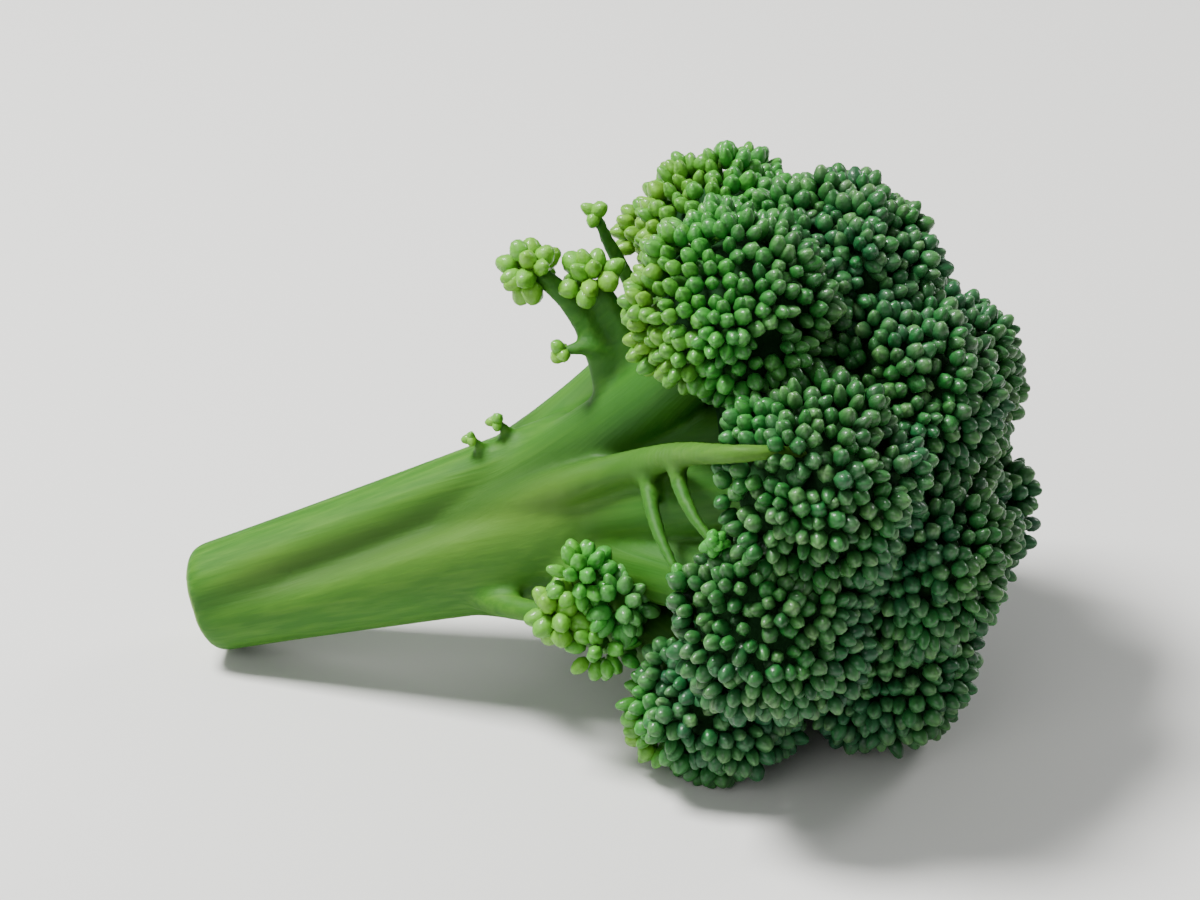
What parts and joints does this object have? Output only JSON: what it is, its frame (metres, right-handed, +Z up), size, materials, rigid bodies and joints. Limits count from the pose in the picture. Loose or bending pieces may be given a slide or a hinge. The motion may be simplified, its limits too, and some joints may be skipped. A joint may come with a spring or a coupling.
{
  "type": "broccoli head",
  "caption": "Cut floret of a broccoli head lying on its side: a pale green stalk that forks into branches, and a dome of dark green buds.",
  "frame": {"origin": "centre of the floret's box, on the surface it lies on", "axes": "+X from the cut end towards the crown, +Z up from the surface"},
  "size_m": [0.0601, 0.044, 0.0402],
  "materials": {
    "stalk": "satin",
    "buds": "satin"
  },
  "bodies": {
    "root": {"stalk": "stalk", "crown": "buds"}
  },
  "joints": []
}
